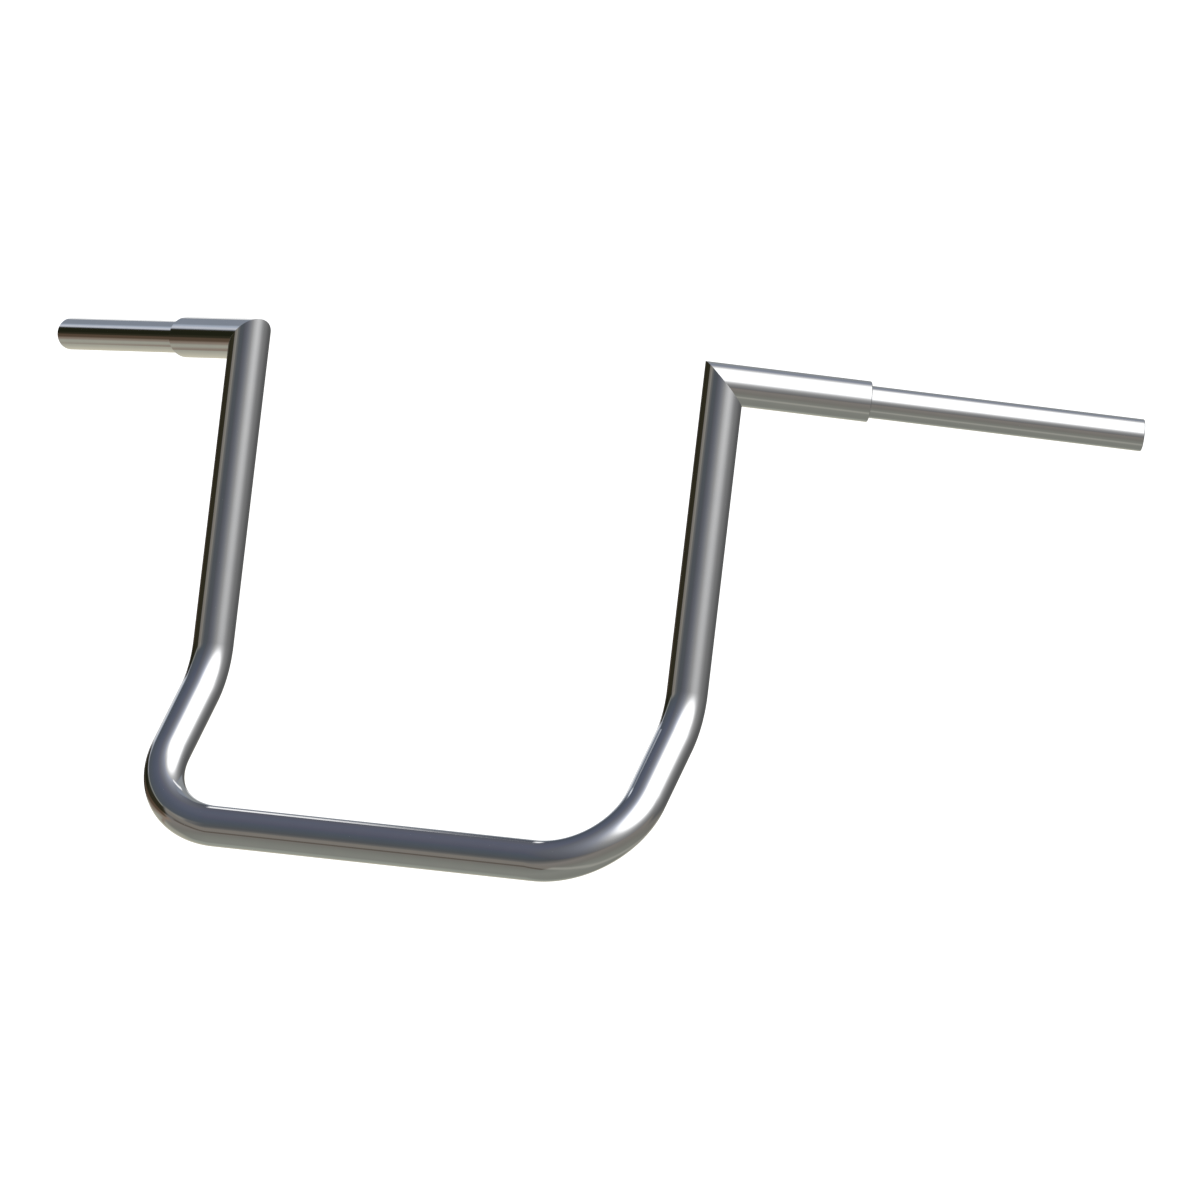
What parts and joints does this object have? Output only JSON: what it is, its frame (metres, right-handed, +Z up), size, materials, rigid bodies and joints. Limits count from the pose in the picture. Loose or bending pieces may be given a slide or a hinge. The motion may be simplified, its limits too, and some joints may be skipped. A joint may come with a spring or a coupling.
{
  "type": "ape hanger handlebar",
  "caption": "Tall motorcycle handlebar in chrome-plated steel tube: straight clamped base, kicked-back legs, upright risers, and mitred arms swept back to thinner grip ends.",
  "frame": {"origin": "middle of the base tube's axis, where the clamps hold the bar", "axes": "+X along the base to the rider's left, +Y back to the rider, +Z up"},
  "size_m": [0.9694, 0.3839, 0.383],
  "materials": {
    "chrome_plate": "polished chrome plate on steel tube"
  },
  "bodies": {
    "root": {"bent_tube": "chrome_plate", "left_arm": "chrome_plate", "right_arm": "chrome_plate", "left_grip_tube": "chrome_plate", "right_grip_tube": "chrome_plate"}
  },
  "joints": []
}
